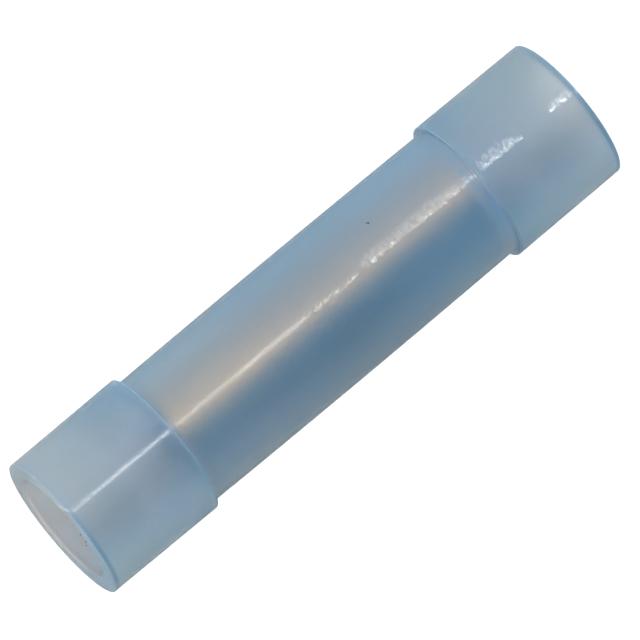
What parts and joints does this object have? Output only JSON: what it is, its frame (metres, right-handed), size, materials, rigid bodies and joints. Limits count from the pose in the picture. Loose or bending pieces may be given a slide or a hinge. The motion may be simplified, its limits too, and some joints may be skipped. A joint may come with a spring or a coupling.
{
  "type": "butt splice connector",
  "caption": "Insulated butt splice connector: hazy pale blue nylon sleeve with wider square-shouldered ends and funnel entries around a brass crimp barrel that joins wires end to end.",
  "frame": {"origin": "centre of the lower end face, on the connector's axis", "axes": "+Z along the connector's axis from the lower mouth to the upper one; X and Y are alike"},
  "size_m": [0.0064, 0.0064, 0.026],
  "materials": {
    "sleeve_nylon": "hazy translucent moulded nylon, pale blue",
    "barrel_brass": "bare turned brass, satin"
  },
  "bodies": {
    "root": {"insulation_sleeve": "sleeve_nylon", "crimp_barrel": "barrel_brass"}
  },
  "joints": []
}
